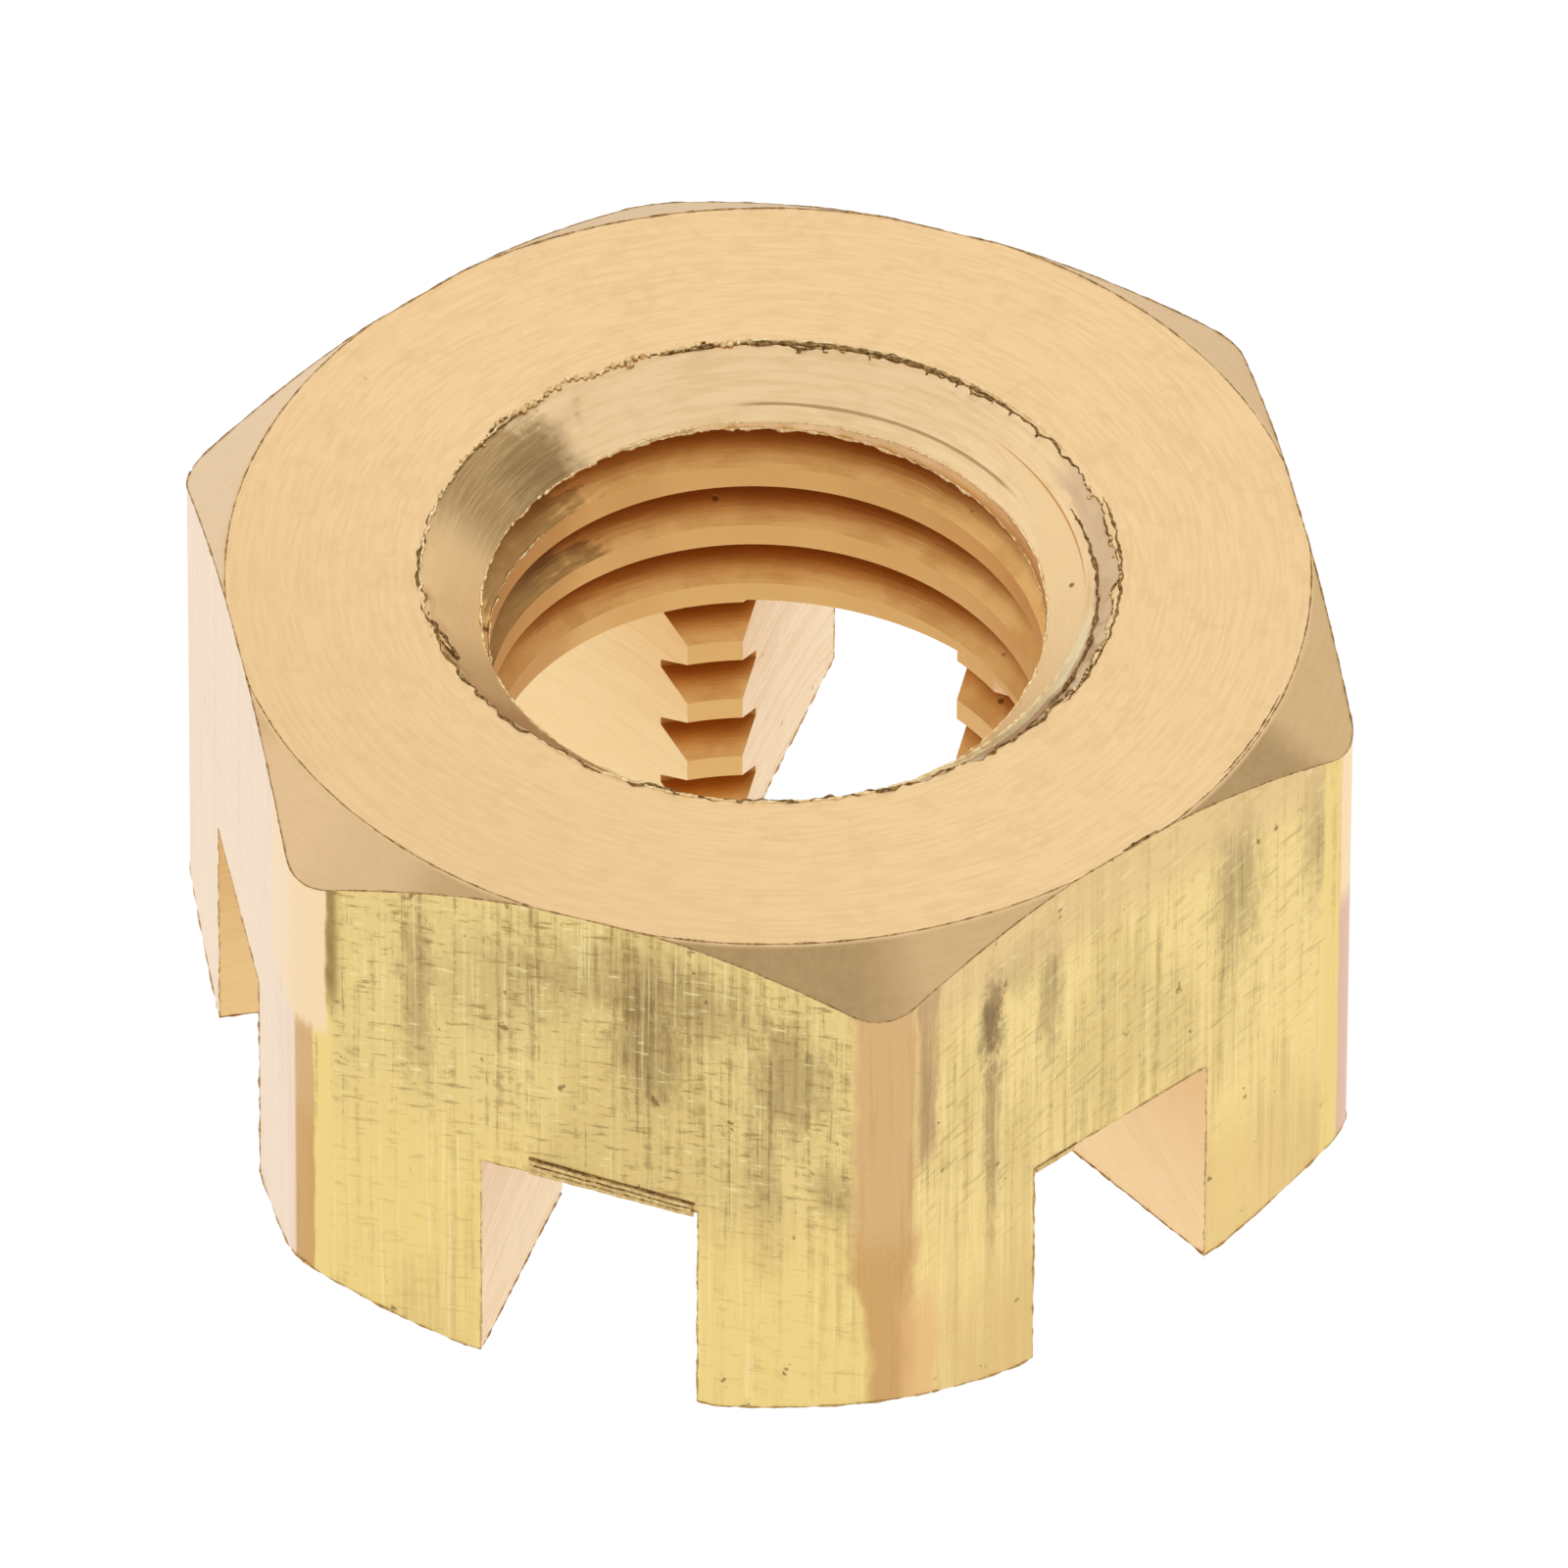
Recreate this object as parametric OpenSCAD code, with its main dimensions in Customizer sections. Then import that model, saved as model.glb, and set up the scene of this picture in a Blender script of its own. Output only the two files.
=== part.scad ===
// Slotted hexagon nut in solid brass, with a right-hand M10 x 1.25 thread.
// The thread's axis is Z. The slotted end lies on Z = 0 and the bearing face looks up.
// Two corners of the hexagon lie along X, and a slot is centred on each flat.

/* [Hexagon] */
// Distance between opposite flats
across_flats = 17; // [16:0.5:19]
// Height from the slotted end to the bearing face
height = 9.8; // [8.5:0.1:14]
// Radius of the round along each corner
corner_r = 0.8; // [0.3:0.1:1.2]

/* [Chamfers] */
// Diameter of the circle where the bearing face meets its chamfer
bearing_d = 17.1; // [16:0.1:17.6]
// Slope of the bearing face's chamfer, measured from the face
bearing_slope = 35; // [20:1:40]
// Diameter of the circle where the slotted end meets its chamfer
slotted_d = 17.5; // [16:0.1:17.8]
// Slope of the slotted end's chamfer, measured from the end
slotted_slope = 43; // [20:1:45]

/* [Slots] */
// Width of each slot, in which the locking pin lies
slot_w = 3.6; // [2:0.1:4]
// Depth of each slot where it crosses the flats
slot_depth = 4.1; // [2:0.1:5]
// Diameter of the cutter that is sunk into the end, and that arches the slots' roots
cutter_d = 54; // [40:1:80]

/* [Thread] */
// Diameter over the roots of the thread
thread_d = 10; // [9.8:0.1:10.2]
// Rise of the thread in one turn
pitch = 1.25; // [1.25:0.25:1.5]
// Diameter over the crests, left by the tapping drill
crest_d = 8.8; // [8.6:0.05:9]
// Turn about Z at which the groove crosses the slotted end
thread_start = 200; // [0:5:355]

/* [Countersinks] */
// Mouth of the countersink in the bearing face
bearing_mouth_d = 10.9; // [10.2:0.1:12]
// Full angle of the countersink in the bearing face
bearing_mouth_angle = 105; // [90:1:120]
// Mouth of the countersink in the slotted end
slotted_mouth_d = 10.1; // [9.2:0.1:11]
// Full angle of the countersink in the slotted end
slotted_mouth_angle = 90; // [90:1:120]

/* [Hidden] */
$fn = 96;
sides = 6;
side_turn = 360 / sides;
half_side = side_turn / 2;
lap = 0.5;                  // how far a cutter runs past the metal
brass = "#d9b36c";

// Hexagon
corner_out = across_flats / 2 / cos(half_side);
round_step = 8;             // angle between a flat and the round that starts on it
round_reach = corner_r * tan(half_side);    // length of flat that a round takes up
round_half = half_side - round_step;
arc_r = round_reach * cos(half_side) / sin(round_half);
arc_centre = corner_out - round_reach * sin(half_side) - arc_r * cos(round_half);

// Thread
ring_turn = 9;              // angle between the rings of the groove
flank_angle = 30;
root_w = pitch / 8;
mouth_w = 0.9 * pitch;      // width of the groove's cutter inside the hole
groove_r = thread_d / 2;
mouth_r = groove_r - (mouth_w - root_w) / 2 / tan(flank_angle);

// The bar's outline: a hexagon with the tip of each corner rounded off.
module bar_outline() {
    difference() {
        circle(r = corner_out, $fn = sides);
        for (i = [0 : sides - 1])
            rotate(i * side_turn) corner_tip();
    }
}

// What lies beyond one corner's round.
module corner_tip() {
    difference() {
        translate([arc_centre, -corner_r]) square([corner_out, 2 * corner_r]);
        translate([arc_centre, 0]) rotate(180) circle(r = arc_r);
    }
}

// What turning leaves of the bar: a cylinder with a cone at each end.
module turned_envelope() {
    r = corner_out + lap;
    bearing_rise = (r - bearing_d / 2) * tan(bearing_slope);
    slotted_rise = (r - slotted_d / 2) * tan(slotted_slope);
    rotate_extrude() polygon([
        [0, 0],
        [slotted_d / 2, 0],
        [r, slotted_rise],
        [r, height - bearing_rise],
        [bearing_d / 2, height],
        [0, height]
    ]);
}

// The tapping-drill hole and its two countersinks.
module drilled_hole() {
    crest_r = crest_d / 2;
    bearing_tan = tan(bearing_mouth_angle / 2);
    slotted_tan = tan(slotted_mouth_angle / 2);
    rotate_extrude() polygon([
        [0, -lap],
        [slotted_mouth_d / 2 + lap * slotted_tan, -lap],
        [crest_r, (slotted_mouth_d / 2 - crest_r) / slotted_tan],
        [crest_r, height - (bearing_mouth_d / 2 - crest_r) / bearing_tan],
        [bearing_mouth_d / 2 + lap * bearing_tan, height + lap],
        [0, height + lap]
    ]);
}

// One ring of the groove's cutter, at an angle along the helix: a trapezium, root outwards.
function groove_ring(turn) =
    let (z = pitch * turn / 360, c = cos(turn), s = sin(turn))
    [
        [mouth_r * c, mouth_r * s, z - mouth_w / 2],
        [groove_r * c, groove_r * s, z - root_w / 2],
        [groove_r * c, groove_r * s, z + root_w / 2],
        [mouth_r * c, mouth_r * s, z + mouth_w / 2]
    ];

// The groove that the tap cuts, from two turns below the slotted end to one above the bearing face.
module thread_groove() {
    first = -2 * 360 / ring_turn;
    last = ceil((height / pitch + 1) * 360 / ring_turn);
    end = 4 * (last - first);
    walls = [
        for (i = [0 : 4 : end - 4], j = [0 : 3])
            let (a = i + j, b = i + (j + 1) % 4)
            each [[a, b, b + 4], [a, b + 4, a + 4]]
    ];
    polyhedron(
        [for (i = [first : last]) each groove_ring(i * ring_turn)],
        concat([[3, 2, 1, 0]], walls, [[end, end + 1, end + 2, end + 3]])
    );
}

// The slots, cut in opposite pairs by a disc that is sunk into the slotted end: the root of each
// slot is an arc, deeper at the hole than at the flat.
module slots() {
    cutter_r = cutter_d / 2;
    cutter_axis = slot_depth - sqrt(cutter_r ^ 2 - (across_flats / 2) ^ 2);
    for (i = [0 : sides / 2 - 1])
        rotate(half_side + i * side_turn)
            translate([0, 0, cutter_axis])
                rotate([90, 0, 0])
                    cylinder(h = slot_w, r = cutter_r, center = true, $fn = 720);
}

module slotted_nut() {
    color(brass) difference() {
        intersection() {
            linear_extrude(height) bar_outline();
            turned_envelope();
        }
        drilled_hole();
        rotate(thread_start) thread_groove();
        slots();
    }
}

slotted_nut();
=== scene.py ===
"""A slotted hexagon nut in solid brass, lying on its slotted end.

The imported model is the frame. The nut is made again here as it is made in a workshop: drawn bar, turned
ends, a drilled hole with its countersinks, milled slots and a tapped thread, each with its tool's finish.
Meshes are worked in millimetres and brought to metres when they are done.
"""

import math

import bmesh
import bpy
from mathutils import Matrix, Vector, noise


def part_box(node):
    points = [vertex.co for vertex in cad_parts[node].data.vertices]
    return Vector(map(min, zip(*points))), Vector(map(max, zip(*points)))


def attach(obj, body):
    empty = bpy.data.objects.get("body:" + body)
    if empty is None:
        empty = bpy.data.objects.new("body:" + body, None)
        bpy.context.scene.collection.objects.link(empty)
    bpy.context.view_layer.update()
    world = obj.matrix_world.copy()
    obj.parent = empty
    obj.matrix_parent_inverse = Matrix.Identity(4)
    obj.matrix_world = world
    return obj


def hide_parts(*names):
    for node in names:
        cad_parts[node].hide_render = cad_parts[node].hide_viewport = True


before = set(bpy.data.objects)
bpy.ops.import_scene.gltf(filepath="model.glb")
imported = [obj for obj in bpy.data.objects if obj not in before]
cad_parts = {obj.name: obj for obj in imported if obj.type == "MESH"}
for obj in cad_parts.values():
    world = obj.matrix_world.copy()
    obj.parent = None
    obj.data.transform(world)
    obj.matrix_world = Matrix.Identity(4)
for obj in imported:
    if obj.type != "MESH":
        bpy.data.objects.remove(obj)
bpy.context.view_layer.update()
MM = 0.001
lowest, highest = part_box("slotted_nut")
height = highest[2] / MM
across_flats = (highest[1] - lowest[1]) / MM
corner_reach = highest[0] / MM
scene = bpy.context.scene


# The bar. Hexagon brass bar is drawn through a die, so its six flats are straight and its corners
# lightly rounded. The die leaves fine lines along it, and the skin has gone yellow with brown stains.

class Wire:
    """A socket in a node tree. Its operators add Math nodes, and add() adds any other node."""

    def __init__(self, tree, socket=None):
        self.tree = tree
        self.socket = socket

    def add(self, kind, settings=None, sockets=None, out=0):
        """Adds a node: its settings first, then its sockets' values or links, by identifier."""
        node = self.tree.nodes.new(kind)
        for name, value in (settings or {}).items():
            setattr(node, name, value)
        for name, value in (sockets or {}).items():
            socket = next(s for s in node.inputs if s.identifier == name)
            if isinstance(value, Wire):
                self.tree.links.new(value.socket, socket)
            else:
                socket.default_value = value
        return Wire(self.tree, node.outputs[out])

    def math(self, operation, first, second=0.0):
        return self.add("ShaderNodeMath", {"operation": operation}, {"Value": first, "Value_001": second})

    def vector(self, operation, first, second=(0.0, 0.0, 0.0), out=0):
        return self.add("ShaderNodeVectorMath", {"operation": operation},
                        {"Vector": first, "Vector_001": second}, out)

    def __add__(self, other):
        return self.math("ADD", self, other)

    def __radd__(self, other):
        return self.math("ADD", other, self)

    def __sub__(self, other):
        return self.math("SUBTRACT", self, other)

    def __rsub__(self, other):
        return self.math("SUBTRACT", other, self)

    def __mul__(self, other):
        return self.math("MULTIPLY", self, other)

    def __rmul__(self, other):
        return self.math("MULTIPLY", other, self)

    def __abs__(self):
        return self.math("ABSOLUTE", self)


def paint(red, green, blue):
    """A colour from its 8-bit values, in the linear numbers that a socket takes."""
    parts = [value / 255 for value in (red, green, blue)]
    return [v / 12.92 if v <= 0.04045 else ((v + 0.055) / 1.055) ** 2.4 for v in parts] + [1.0]


def stretched(place, x, y, z):
    """A place multiplied along each axis."""
    return place.vector("MULTIPLY", place, (x, y, z))


def grain(place, detail=2.0, roughness=0.5):
    """Noise from 0 to 1, with one lump to each unit of the place."""
    return place.add("ShaderNodeTexNoise", None,
                     {"Vector": place, "Scale": 1.0, "Detail": detail, "Roughness": roughness})


def ramp(value, start, end):
    """0 below start, 1 above end, and smooth between them."""
    return value.add("ShaderNodeMapRange", {"interpolation_type": "SMOOTHSTEP"},
                     {"Value": value, "From Min": start, "From Max": end})


def span(value, start, full, fade, end):
    """0 below start, 1 from full to fade, 0 above end, and smooth between them."""
    return ramp(value, start, full) * (1 - ramp(value, fade, end))


def tinted(under, over, amount):
    """One colour laid over another, as much as the amount says."""
    return amount.add("ShaderNodeMix", {"data_type": "RGBA"},
                      {"Factor_Float": amount, "A_Color": under, "B_Color": over}, out=2)


def specks(place, per_mm, share, size):
    """Small round dots: a share of the cells holds one each, of this size in millimetres."""
    cells = stretched(place, per_mm, per_mm, per_mm)
    near = cells.add("ShaderNodeTexVoronoi", None, {"Vector": cells, "Scale": 1.0})
    chance = cells.add("ShaderNodeTexVoronoi", None, {"Vector": cells, "Scale": 1.0}, out=1)
    chance = chance.add("ShaderNodeSeparateXYZ", None, {"Vector": chance})
    return (1 - ramp(near, size * per_mm * 0.5, size * per_mm)) * (1 - ramp(chance, share, share + 0.01))


def finish(name):
    """A new brass material: returns it with the place on the nut in millimetres."""
    material = bpy.data.materials.new(name)
    material.use_nodes = True
    tree = material.node_tree
    place = Wire(tree).add("ShaderNodeTexCoord", out=3)
    place = place.add("ShaderNodeVectorMath", {"operation": "SCALE"}, {"Vector": place, "Scale": 1 / MM})
    return material, place


def plated(material, colour, rough, relief, depth):
    """Gives a finish its colour, its roughness and a relief that is so many millimetres deep."""
    shader = material.node_tree.nodes["Principled BSDF"]
    shader.inputs["Metallic"].default_value = 1.0
    bump = relief.add("ShaderNodeBump", None, {"Strength": 1.0, "Distance": depth * MM, "Height": relief})
    for socket, wire in (("Base Color", colour), ("Roughness", rough), ("Normal", bump)):
        material.node_tree.links.new(wire.socket, shader.inputs[socket])


def part(place, axis):
    """One coordinate of a place: 0 is X, 1 is Y and 2 is Z."""
    return place.add("ShaderNodeSeparateXYZ", None, {"Vector": place}, out=axis)


def outwards(side):
    """The unit vector that points out from the axis on this side, in degrees."""
    return Vector((math.cos(math.radians(side)), math.sin(math.radians(side)), 0))


def along(place, side):
    """How far a place lies from the nut's axis towards this side."""
    return place.vector("DOT_PRODUCT", place, outwards(side), out=1)


def facing(place, side):
    """1 on the flat that faces this side and 0 on the others."""
    return ramp(along(place, side), across_flats / 2 - 0.08, across_flats / 2 - 0.04)


def on_flat(side, run, up, lift=0.0):
    """A point so far along the flat that faces this side, so far up, and lifted off it."""
    out = outwards(side)
    return out * (across_flats / 2 + lift) + Vector((-out.y, out.x, 0)) * run + Vector((0, 0, up))


# Each stain: the side its flat faces, how far along and how far up it lies, its half width and half
# height, and how strong it is.
stains = (
    (-90, -2.85, 7.4, 0.28, 2.2, 0.55),
    (-90, -1.4, 8.0, 1.50, 1.3, 0.30),
    (-90, 0.4, 8.7, 1.60, 0.9, 0.40),
    (-90, 0.95, 7.3, 0.65, 1.3, 0.70),
    (-90, 1.7, 8.5, 1.10, 1.0, 0.45),
    (-90, 3.3, 7.4, 0.75, 1.4, 0.65),
    (-90, 4.05, 5.2, 0.40, 0.7, 0.45),
    (-90, 2.9, 5.4, 0.35, 1.2, 0.35),
    (-30, -2.72, 7.9, 0.27, 1.2, 1.00),
    (-30, -2.71, 7.9, 0.18, 0.9, 0.90),
    (-30, -2.70, 5.6, 0.20, 2.6, 0.60),
    (-30, -4.1, 7.0, 0.20, 1.4, 0.55),
    (-30, -1.5, 7.7, 0.26, 1.5, 0.65),
    (-30, -2.1, 8.7, 0.50, 0.7, 0.45),
    (-30, 2.4, 7.7, 0.55, 2.0, 0.60),
    (-30, 4.0, 7.9, 0.30, 1.5, 0.45),
)


def stained(colour, place, lines, ragged):
    """Lays the ragged brown stains over the skin, darker along its lines."""
    brown = paint(130, 102, 66)
    for side, run, rise, half_width, half_height, strength in stains:
        gap = place.vector("SUBTRACT", place, on_flat(side, run, rise))
        gap = stretched(gap, 1 / half_width, 1 / half_width, 1 / half_height)
        reach = gap.vector("LENGTH", gap, out=1)
        patch = 1 - ramp(reach + (ragged - 0.5) * 2.6, 0.25, 1.35)
        colour = tinted(colour, brown, patch * (0.30 + 0.95 * lines) * strength)
    return colour


def rubbed_corners(colour, place, lines, sway):
    """Orange brass along every corner. The front one's band is wide and shifts near its foot."""
    up = part(place, 2)
    corner = None
    for side in (0, 60, 120):
        out = abs(along(place, side))
        corner = out if corner is None else corner.math("MAXIMUM", corner, out)
    band = ramp(corner + sway * 0.12, 9.50, 9.54)
    low = 1 - ramp(up + sway, 2.1, 3.7)
    across = along(place, 30) + sway
    front = ramp(along(place, 300), 9.0, 9.1)
    front_band = ramp(across - low * 0.22, -0.54, -0.34) * (1 - ramp(across, 0.40, 0.70)) * front
    band = band * (1 - front) + front_band * front
    orange = tinted(paint(216, 177, 124), paint(208, 165, 106), 1 - ramp(up, 3.6, 4.8))
    orange = tinted(orange, paint(196, 152, 100), ramp(lines, 0.48, 0.7) * 0.6)
    colour = tinted(colour, orange, band * 0.95)
    peach = front * low * span(across, 0.2, 0.4, 0.8, 1.0)
    colour = tinted(colour, paint(232, 186, 126), peach * 0.7)
    smear = front * ramp(up + sway, 5.4, 6.0) * span(across, 0.55, 0.65, 0.85, 1.0)
    return tinted(colour, paint(184, 146, 104), smear * (0.3 + 0.6 * lines)), band


def left_corner(colour, place, unworn, lines, ragged, sway):
    """The flat on the left, made near white by a painted highlight, and the cream patch that is worn across
    the corner beside it.
    """
    up = part(place, 2)
    across = along(place, 330) + sway * 0.3
    left = ramp(along(place, 240), 8.6, 8.7)
    # Painted highlight: the flat that faces the left, and the edge of the corner beside it, are painted near
    # white.
    left_flat_highlight = facing(place, 210)
    left_flat_highlight = left_flat_highlight.math("MAXIMUM", left_flat_highlight, left * (1 - ramp(across, -0.46, -0.40)))
    colour = tinted(colour, paint(246, 223, 203), left_flat_highlight * (1 - 0.35 * lines))
    colour = tinted(colour, unworn, left * span(across, 0.22, 0.28, 0.5, 0.6))
    worn = left * ramp(up + (ragged - 0.5) * 0.6, 5.9, 6.2)
    cream = worn * span(across, -1.8, -1.4, 0.44, 0.50)
    colour = tinted(colour, paint(246, 219, 178), cream)
    crease = worn * span(across, 0.44, 0.50, 0.56, 0.70) * ramp(up, 6.2, 7.2)
    return tinted(colour, paint(150, 118, 70), crease * (0.4 + 0.8 * ragged)), cream


def right_corner(colour, place, unworn, sway):
    """Pink brass on the far half of the corner on the right, paler towards the top."""
    across = along(place, 90) + sway * 0.2
    end = ramp(along(place, 0), 9.45, 9.5)
    far = ramp(across, -0.28, -0.22)
    colour = tinted(colour, unworn, end * (1 - far))
    pink = tinted(paint(228, 188, 164), paint(250, 222, 176), ramp(part(place, 2) + sway, 5.6, 6.2))
    return tinted(colour, pink, end * far)


def drawn_finish():
    """Yellow skin with fine lines, dashes, stains, slanted scratches and pits, and rubbed corners, with
    painted light on the flat that faces the front right and a painted highlight on the left flat.
    """
    material, place = finish("drawn_brass")
    up = part(place, 2)
    broad = grain(stretched(place, 0.40, 0.40, 0.14), 3.0)
    lines = grain(stretched(place, 6.5, 6.5, 0.16), 5.0, 0.74)
    dashes = grain(stretched(place, 3.0, 3.0, 5.0), 4.0, 0.75)
    hair = grain(stretched(place, 17.0, 17.0, 0.30), 2.0, 0.6)
    slanted = up.add("ShaderNodeCombineXYZ", None, {
        "X": part(place, 0) * 2.0, "Y": part(place, 1) * 2.0, "Z": (up - along(place, 60) * 0.28) * 9.0})
    cross = grain(slanted, 3.0, 0.6)
    ragged = grain(stretched(place, 4.0, 4.0, 1.6), 6.0, 0.8)
    pits = 1 - ramp(grain(stretched(place, 3.2, 3.2, 2.6), 3.0, 0.6), 0.26, 0.32)
    sway = (grain(stretched(place, 2.0, 2.0, 0.8), 4.0, 0.6) - 0.5) * 0.5
    worked = ramp(up + (broad - 0.5) * 5.0, 3.0, 5.5)
    right = facing(place, 330)

    colour = tinted(paint(238, 211, 136), paint(232, 206, 138), worked)
    # Painted light: the flat that faces the front right is made lighter, for the light that it catches.
    colour = tinted(colour, paint(247, 220, 150), right * 0.7)
    colour = tinted(colour, paint(216, 188, 122), ramp(broad + (lines - 0.5) * 0.5, 0.46, 0.62) * 0.6)
    dark_lines = ramp(lines + (dashes - 0.5) * 0.6, 0.50, 0.72) * (0.25 + 0.6 * worked) * (1 - 0.45 * right)
    colour = tinted(colour, paint(168, 142, 88), dark_lines)
    colour = stained(colour, place, lines, ragged)
    colour = tinted(colour, paint(252, 236, 176), ramp(hair, 0.56, 0.76) * 0.45)
    scratches = (1 - ramp(cross, 0.30, 0.46)) * (0.3 + 0.7 * worked) * (0.75 - 0.40 * right)
    colour = tinted(colour, paint(164, 134, 82), scratches)
    top = ramp(up + (ragged - 0.5) * 1.2, 7.9, 9.0)
    colour = tinted(colour, paint(226, 194, 142), right * top * 0.6)
    foot = 1 - ramp(up + (ragged - 0.5) * 0.8, 1.6, 3.4)
    colour = tinted(colour, paint(224, 188, 122), right * foot * 0.45)
    nicks = ramp(cross, 0.60, 0.70) * (0.2 + 0.8 * worked) * (1 - 0.4 * right)
    colour = tinted(colour, paint(252, 238, 184), nicks * 0.5)
    colour = tinted(colour, paint(128, 98, 56), pits * 0.7)

    unworn = tinted(paint(240, 214, 138), paint(200, 168, 104), dark_lines)
    colour, band = rubbed_corners(colour, place, lines, sway)
    colour, cream = left_corner(colour, place, unworn, lines, ragged, sway)
    colour = right_corner(colour, place, unworn, sway)
    smooth = band.math("MAXIMUM", band, cream)
    rough = 0.36 + 0.18 * lines + 0.1 * pits
    relief = lines * 0.7 + hair * 0.25 + cross * 0.5 - pits * 0.8
    plated(material, colour, rough, relief * (1 - 0.7 * smooth), 0.012)
    return material


corner_r = 1.0
round_steps = 14            # sides that a corner's round is made of
overrun = 0.5               # how far a cutter runs past the metal


def bar():
    """A stretch of hexagon bar, longer than the nut, with a round along each corner."""
    mesh = bmesh.new()
    reach = (across_flats / 2 - corner_r) / math.cos(math.radians(30))
    outline = []
    for corner in range(6):
        middle = math.radians(60 * corner)
        for step in range(round_steps + 1):
            turn = middle + math.radians(60) * (step / round_steps - 0.5)
            x = reach * math.cos(middle) + corner_r * math.cos(turn)
            y = reach * math.sin(middle) + corner_r * math.sin(turn)
            outline.append(mesh.verts.new((x, y, -overrun)))
    base = mesh.faces.new(reversed(outline))
    top = bmesh.ops.extrude_face_region(mesh, geom=[base])
    for item in top["geom"]:
        if isinstance(item, bmesh.types.BMVert):
            item.co.z = height + overrun
    return mesh


def made(name, mesh, material):
    """An object from a mesh being worked, all of one finish."""
    bmesh.ops.recalc_face_normals(mesh, faces=mesh.faces)
    for face in mesh.faces:
        face.smooth = True
    data = bpy.data.meshes.new(name)
    mesh.to_mesh(data)
    mesh.free()
    data.materials.append(material)
    piece = bpy.data.objects.new(name, data)
    scene.collection.objects.link(piece)
    return piece


nut = made("slotted_nut_brass", bar(), drawn_finish())


# The turned ends. The bar is faced and chamfered in the lathe at both ends, which leaves satin faces
# of a paler, pinker brass with fine marks round the axis.

bearing_d = 17.1            # across the bearing face, inside its chamfer
bearing_slope = math.radians(35)
slotted_d = 17.5
slotted_slope = math.radians(43)
turned_steps = 288


def lathe(profile, steps):
    """A closed solid of revolution from a profile of radii and heights, lowest first."""
    mesh = bmesh.new()
    rings = []
    turns = [2 * math.pi * step / steps for step in range(steps)]
    for out, z in profile:
        rings.append([mesh.verts.new((out * math.cos(turn), out * math.sin(turn), z)) for turn in turns])
    for low, high in zip(rings, rings[1:]):
        for step in range(steps):
            after = (step + 1) % steps
            mesh.faces.new((low[step], low[after], high[after], high[step]))
    mesh.faces.new(reversed(rings[0]))
    mesh.faces.new(rings[-1])
    return mesh


def radius(place):
    """How far a place lies from the nut's axis."""
    flat = stretched(place, 1, 1, 0)
    return flat.vector("LENGTH", flat, out=1)


def heading(place):
    """The unit vector from the nut's axis to a place."""
    flat = stretched(place, 1, 1, 0)
    return flat.vector("NORMALIZE", flat)


def round_marks(place, across, around):
    """Noise in short strokes round the axis: so many to a millimetre across, and round the nut."""
    way = stretched(heading(place), around, around, 0)
    lift = place.add("ShaderNodeCombineXYZ", None, {"Z": radius(place) * across})
    return grain(way.vector("ADD", way, lift), 3.0, 0.6)


def sector(place, middle, half, soft, ragged=0.0):
    """1 within a sector about the axis and 0 outside it, in degrees."""
    whole = math.cos(math.radians(half))
    none = math.cos(math.radians(half + soft))
    return ramp(along(heading(place), middle) + ragged, none, whole)


# Each painted reflection on the bearing face's chamfer, dark ones and light ones: the middle of its sector,
# half its width and its soft edge in degrees, its colour, and how strong it is.
chamfer_painted_light = (
    (-74, 10, 10, paint(150, 120, 78), 0.62),
    (-15, 7, 6, paint(150, 120, 78), 0.60),
    (-106, 9, 9, paint(150, 120, 78), 0.25),
    (-122, 9, 7, paint(246, 212, 170), 0.50),
    (180, 30, 14, paint(255, 232, 204), 0.50),
)


def turned_finish():
    """Satin brass with fine marks round the axis, painted darker towards the front left, with painted shade
    and painted reflections, dark and light, on the chamfer.
    """
    material, place = finish("turned_brass")
    strokes = round_marks(place, 15.0, 9.0)
    fine = round_marks(place, 36.0, 18.0)
    mottle = grain(stretched(place, 2.0, 2.0, 2.0), 6.0, 0.7)
    colour = tinted(paint(239, 206, 156), paint(234, 200, 149), ramp(strokes, 0.38, 0.64))
    colour = tinted(colour, paint(216, 180, 128), ramp(fine, 0.62, 0.80) * 0.5)
    colour = tinted(colour, paint(247, 219, 172), (1 - ramp(fine, 0.22, 0.40)) * 0.6)
    colour = tinted(colour, paint(226, 192, 142), ramp(mottle, 0.50, 0.66) * 0.5)
    dots = specks(place, 1.2, 0.20, 0.05)
    colour = tinted(colour, paint(160, 126, 78), dots * 0.6)

    # Painted shade: the turned faces are darker towards the front left, where the light is dimmer.
    colour = tinted(colour, paint(224, 190, 138), ramp(along(place, 240), 1.0, 9.0) * 0.4)
    cone = 1 - ramp(part(place, 2), height - 0.05, height - 0.01)
    brushing = grain(stretched(place, 7.0, 7.0, 1.0), 3.0, 0.6)
    # Painted shade: everything below the bearing face is darker, and the sectors below paint dark and light
    # reflections on the chamfer.
    colour = tinted(colour, paint(206, 172, 124), cone * 0.55)
    for middle, half, soft, tone, strength in chamfer_painted_light:
        shade = sector(place, middle, half, soft) * cone * (0.55 + 0.6 * brushing)
        colour = tinted(colour, tone, shade * strength)
    rough = 0.38 + 0.14 * strokes
    relief = strokes * 0.5 + fine * 0.3 - dots
    plated(material, colour, rough, relief, 0.0035)
    return material


def turned_ends():
    """What turning leaves of the bar: a cylinder with a cone at each end."""
    past = corner_reach + overrun
    bearing_drop = (past - bearing_d / 2) * math.tan(bearing_slope)
    slotted_rise = (past - slotted_d / 2) * math.tan(slotted_slope)
    return lathe([
        (slotted_d / 2, 0),
        (past, slotted_rise),
        (past, height - bearing_drop),
        (bearing_d / 2, height),
    ], turned_steps)


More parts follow.
